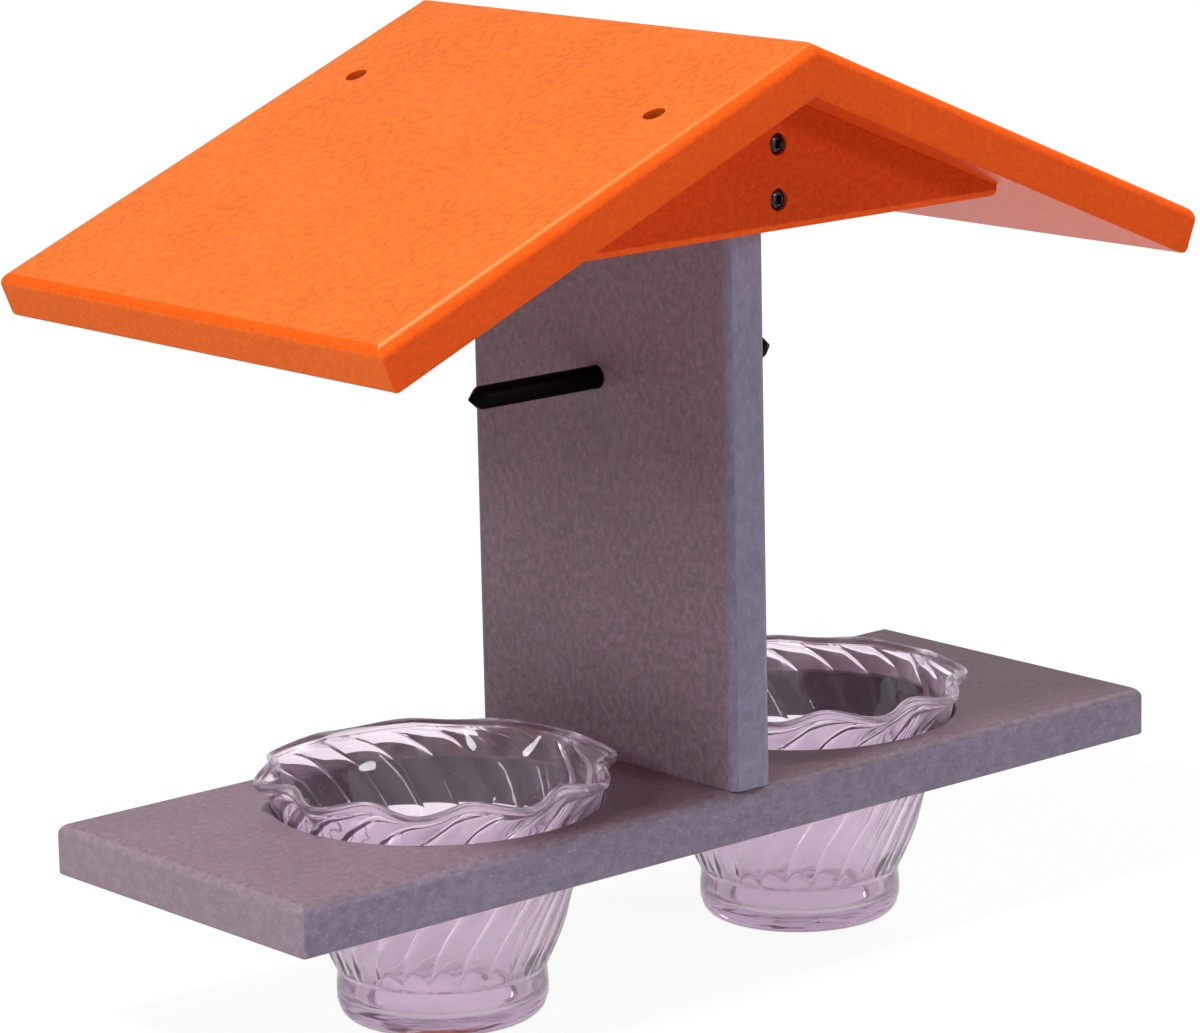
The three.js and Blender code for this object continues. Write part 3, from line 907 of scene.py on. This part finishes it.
def rise_at(height):
    """How far up the wall's curve a height lies."""
    low, high = 0.0, 1.0
    for _ in range(halvings):
        middle = (low + high) / 2
        low, high = (middle, high) if wall_point(middle).y < height else (low, middle)
    return low


def ruffle_at(height):
    """The ruffle grows from nothing at the seat to its full size at the rim."""
    return min(1.0, max(0.0, height / cup_rim_rise))


def cup_rings():
    """All rings of a cup, from the middle of the sole, up the outside, over the lip and down to the
    floor."""
    recess_top = cup_sole + foot_recess_depth
    rings = [
        cup_ring(cup_middle_radius, recess_top),
        cup_ring(foot_recess_radius - foot_recess_depth, recess_top),
        cup_ring(foot_recess_radius - foot_recess_edge, cup_sole + foot_recess_edge),
        cup_ring(foot_recess_radius, cup_sole),
    ]
    for k in range(foot_steps + 1):
        angle = math.pi / 2 * k / foot_steps
        reach = cup_sole_radius + (cup_foot_radius - crease_depth - cup_sole_radius) * math.sin(angle)
        rings.append(cup_ring(reach, cup_sole + (cup_foot_crease - cup_sole) * (1 - math.cos(angle))))
    rings.append(cup_ring(cup_foot_radius, cup_foot_crease + crease_height))
    rings.append(cup_ring(cup_foot_radius, (cup_foot_crease + cup_waist[1]) / 2))
    bead_foot_rise = rise_at(lip_top - bead_height)
    bead_foot = wall_point(bead_foot_rise).y
    for k in range(outer_rows + 1):
        rise = bead_foot_rise * k / outer_rows
        radius, height = wall_point(rise)
        flute = min((height - cup_waist[1]) / flute_end, (bead_foot - height) / flute_end_at_rim)
        rings.append(cup_ring(radius, height, swirl_angle * rise ** 2, flute, ruffle_at(height)))
    rim_turn = swirl_angle * bead_foot_rise ** 2
    bead_line = cup_seat_radius + cup_rim_flare - bead_out
    for k in range(3 * bead_steps + 1):
        angle = math.pi / 2 * (k / bead_steps - 1)
        reach = bead_out if k < 2 * bead_steps else cup_wall - bead_out
        height = lip_top - bead_height / 2 * (1 - math.sin(angle))
        rings.append(cup_ring(
            bead_line + reach * math.cos(angle), height, rim_turn, 0.0, ruffle_at(height),
        ))
    inside_rise = rise_at(lip_top - bead_height * inside_start)
    for k in range(inner_rows, 0, -1):
        rise = k / inner_rows * inside_rise
        radius, height = wall_point(rise)
        rings.append(cup_ring(radius - cup_wall, height, swirl_angle * rise ** 2, 0.0, ruffle_at(height)))
    for k in range(floor_steps + 1):
        angle = math.pi / 2 * k / floor_steps
        reach = cup_waist[0] - cup_wall - cup_floor_round * (1 - math.cos(angle))
        rings.append(cup_ring(reach, cup_floor + cup_floor_round * (1 - math.sin(angle))))
    rings.append(cup_ring(cup_middle_radius, cup_floor))
    return rings


for side, x in cup_centres.items():
    mesh = bmesh.new()
    skin(mesh, cup_rings(), cap=True)
    place = Matrix.Translation((x, 0, base_high.z)) @ Matrix.Rotation(cup_turns[side], 4, "Z")
    cup = stand(side + "_clear_cup", mesh, place)
    cup.data.materials.append(cup_plastic)
    cup.data.shade_smooth()
    cup.data.set_sharp_from_angle(angle=sharp_angle)
    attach(cup, side + "_cup")
    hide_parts(side + "_cup")


# Floor
# A plain pale floor under the cups' feet. It is white where the camera, a reflection or the clear cups show
# it, and keeps the object's soft shadow.

floor_gap = 0.0003
floor_half = 40.0
floor_roughness = 0.9

# The floor brightens outwards, painted shade near the middle and painted light far off: two distances from
# the
# # middle, and the glow at each, as a reflection or the camera shows it.
glow_mirrored_painted_shade = (0.1, 1.5, 0.60, 1.0)
glow_direct_painted_shade = (0.4, 2.5, 0.93, 1.0)

floor_mesh = bmesh.new()
bmesh.ops.create_grid(floor_mesh, x_segments=1, y_segments=1, size=floor_half)
floor = stand("floor", floor_mesh, Matrix.Translation((0, 0, cad_low.z - floor_gap)))


def by_ray(tree, bounced, mirrored, direct):
    """One value for light that bounces, one for what a reflection or a clear piece shows, and one for the
    camera."""
    path = add_node(tree, "LightPath").outputs
    shown = combine(tree, "MAXIMUM", path["Is Glossy Ray"], path["Is Transmission Ray"])
    indirect = add_node(tree, "Mix", {"Factor": shown, "A": bounced, "B": mirrored}).outputs["Result"]
    return add_node(tree, "Mix", {
        "Factor": path["Is Camera Ray"], "A": indirect, "B": direct,
    }).outputs["Result"]


floor_material, floor_tree, floor_shader = new_material("pale_floor")
floor_shader.inputs["Roughness"].default_value = floor_roughness
floor_shader.inputs["Specular IOR Level"].default_value = 0.0
floor_shader.inputs["Emission Color"].default_value = (1, 1, 1, 1)
floor_shade = by_ray(floor_tree, bounced=0.75, mirrored=0.35, direct=0.08)
floor_colour = add_node(floor_tree, "CombineColor", {
    "Red": floor_shade, "Green": floor_shade, "Blue": floor_shade,
})
floor_tree.links.new(floor_colour.outputs["Color"], floor_shader.inputs["Base Color"])
floor_distance = add_node(floor_tree, "VectorMath", {
    0: add_node(floor_tree, "TexCoord").outputs["Object"],
}, operation="LENGTH").outputs["Value"]
floor_glow = by_ray(
    floor_tree, bounced=0.0, mirrored=spread(floor_tree, floor_distance, *glow_mirrored_painted_shade),
    direct=spread(floor_tree, floor_distance, *glow_direct_painted_shade),
)
floor_tree.links.new(floor_glow, floor_shader.inputs["Emission Strength"])
floor.data.materials.append(floor_material)


# Light
# A soft studio: an even world, a soft box high on the left, one low on each side, and a weak one in front.
# The clear cups bend the light many times, so it is followed a long way.

studio_white = (1.0, 0.985, 1.0, 1)
light_aim = Vector((0, 0, 0.1))

# In a reflection the studio dims upwards: two heights, and the strength at each.
studio_mirrored = (0.25, 0.65, 1.0, 0.6)

world = bpy.data.worlds.new("studio")
world.use_nodes = True
bpy.context.scene.world = world
world_tree = world.node_tree
background = world_tree.nodes["Background"]
background.inputs["Color"].default_value = studio_white
world_height = add_node(world_tree, "SeparateXYZ", {
    "Vector": add_node(world_tree, "TexCoord").outputs["Generated"],
}).outputs["Z"]
world_strength = by_ray(
    world_tree, bounced=0.15, mirrored=spread(world_tree, world_height, *studio_mirrored), direct=1.0,
)
world_tree.links.new(world_strength, background.inputs["Strength"])


def soft_box(name, location, size, power):
    """A round white area light at a location, turned towards the object."""
    light = bpy.data.lights.new(name, "AREA")
    light.shape = "DISK"
    light.size = size
    light.energy = power
    lamp = bpy.data.objects.new(name, light)
    lamp.location = location
    lamp.rotation_euler = (light_aim - Vector(location)).to_track_quat("-Z", "Y").to_euler()
    bpy.context.scene.collection.objects.link(lamp)


soft_box("key_box", location=(-0.90, -0.30, 1.86), size=0.4, power=43.0)
soft_box("left_box", location=(-1.81, 0, 0.945), size=0.6, power=13.0)
soft_box("right_box", location=(1.81, 0, 0.945), size=0.5, power=26.0)
soft_box("front_box", location=(0.47, -1.75, 0.945), size=0.5, power=8.5)
bpy.context.scene.cycles.glossy_bounces = 16
bpy.context.scene.cycles.max_bounces = 24


# Camera
# It stands to the left of the front and a little above the roof's eaves, far off with a long lens.

camera_azimuth = math.radians(-40.806)
camera_elevation = math.radians(12.362)
camera_roll = math.radians(-1.216)
camera_distance = 1.312322
camera_slide = (-0.00449, -0.024379)
camera_aim_rise = 0.09144
camera_aim = Vector((0, 0, base_high.z + camera_aim_rise))
photo_width_pixels = 1200
focal_pixels = 4834.294

camera_data = bpy.data.cameras.new("camera")
camera_data.sensor_width = 36.0
camera_data.sensor_fit = "HORIZONTAL"
camera_data.lens = camera_data.sensor_width * focal_pixels / photo_width_pixels
camera_data.clip_start = 0.05
camera_data.clip_end = 200.0
away = Vector((
    math.sin(camera_azimuth) * math.cos(camera_elevation),
    -math.cos(camera_azimuth) * math.cos(camera_elevation),
    math.sin(camera_elevation),
))
level = Vector((math.cos(camera_azimuth), math.sin(camera_azimuth), 0))
rolled = Matrix.Rotation(camera_roll, 3, away)
to_right = rolled @ level
to_top = rolled @ away.cross(level)
stand_point = camera_aim + away * camera_distance + to_right * camera_slide[0] + to_top * camera_slide[1]
turned_to_object = Matrix((to_right, to_top, away)).transposed().to_4x4()
camera = bpy.data.objects.new("camera", camera_data)
camera.matrix_world = Matrix.Translation(stand_point) @ turned_to_object
bpy.context.scene.collection.objects.link(camera)
bpy.context.scene.camera = camera
bpy.context.scene.view_settings.view_transform = "Standard"
